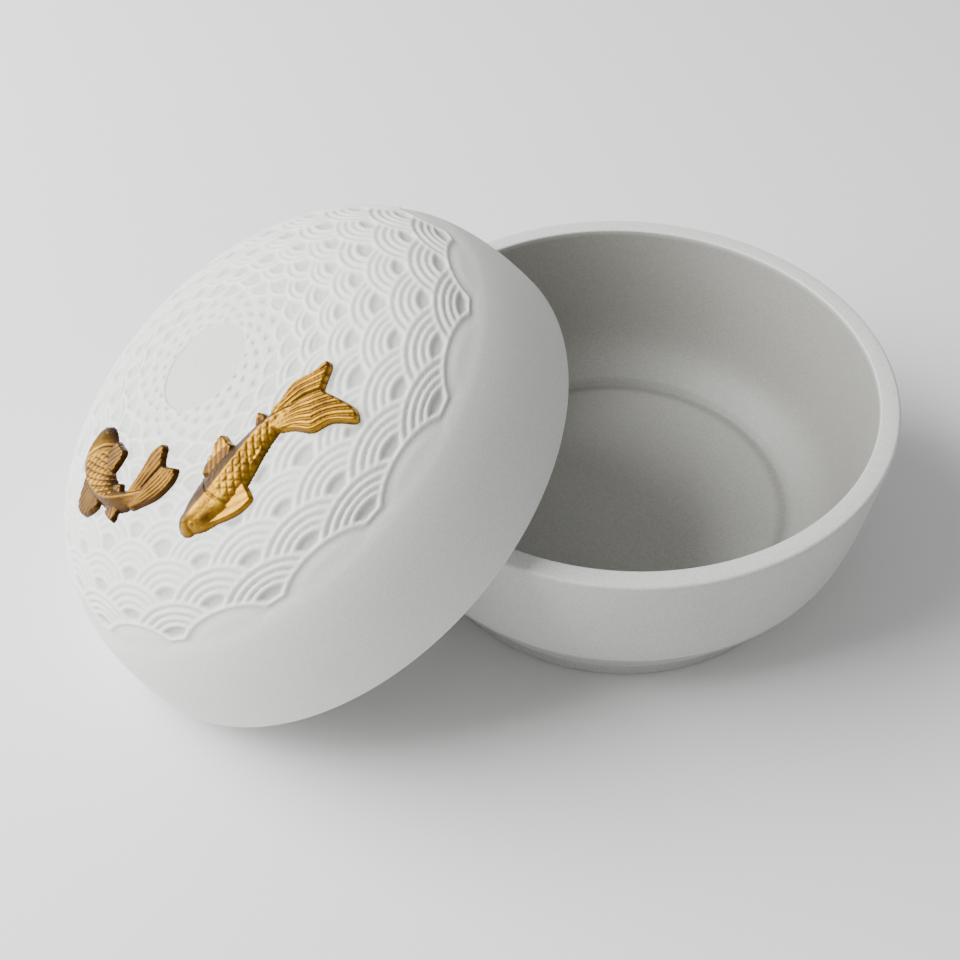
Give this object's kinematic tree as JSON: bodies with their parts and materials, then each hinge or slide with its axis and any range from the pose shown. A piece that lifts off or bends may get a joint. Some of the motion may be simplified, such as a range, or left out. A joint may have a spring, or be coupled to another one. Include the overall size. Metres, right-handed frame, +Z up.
{
  "type": "seal paste box",
  "caption": "Round porcelain seal paste box, open: a low bowl on a foot ring and a domed lid with two carp in relief, leaning on the bowl's rim.",
  "frame": {"origin": "on the bowl's axis, at the plane its foot ring rests on", "axes": "+Z up along the bowl's axis; the lid leans on the bowl's rim on the -X side"},
  "size_m": [0.143, 0.0938, 0.0649],
  "materials": {
    "bowl_porcelain": "satin grey-white glaze",
    "lid_bisque": "matte off-white bisque",
    "koi_gilding": "old gold, brown in the hollows"
  },
  "bodies": {
    "bowl": {"bowl": "bowl_porcelain"},
    "lid": {"lid": "lid_bisque", "koi_large": "koi_gilding", "koi_small": "koi_gilding"}
  },
  "joints": [
    {"name": "lid_lift", "type": "slide", "parent": "bowl", "child": "lid", "axis": [0, 0, 1], "range_m": [0, 0.09]}
  ]
}
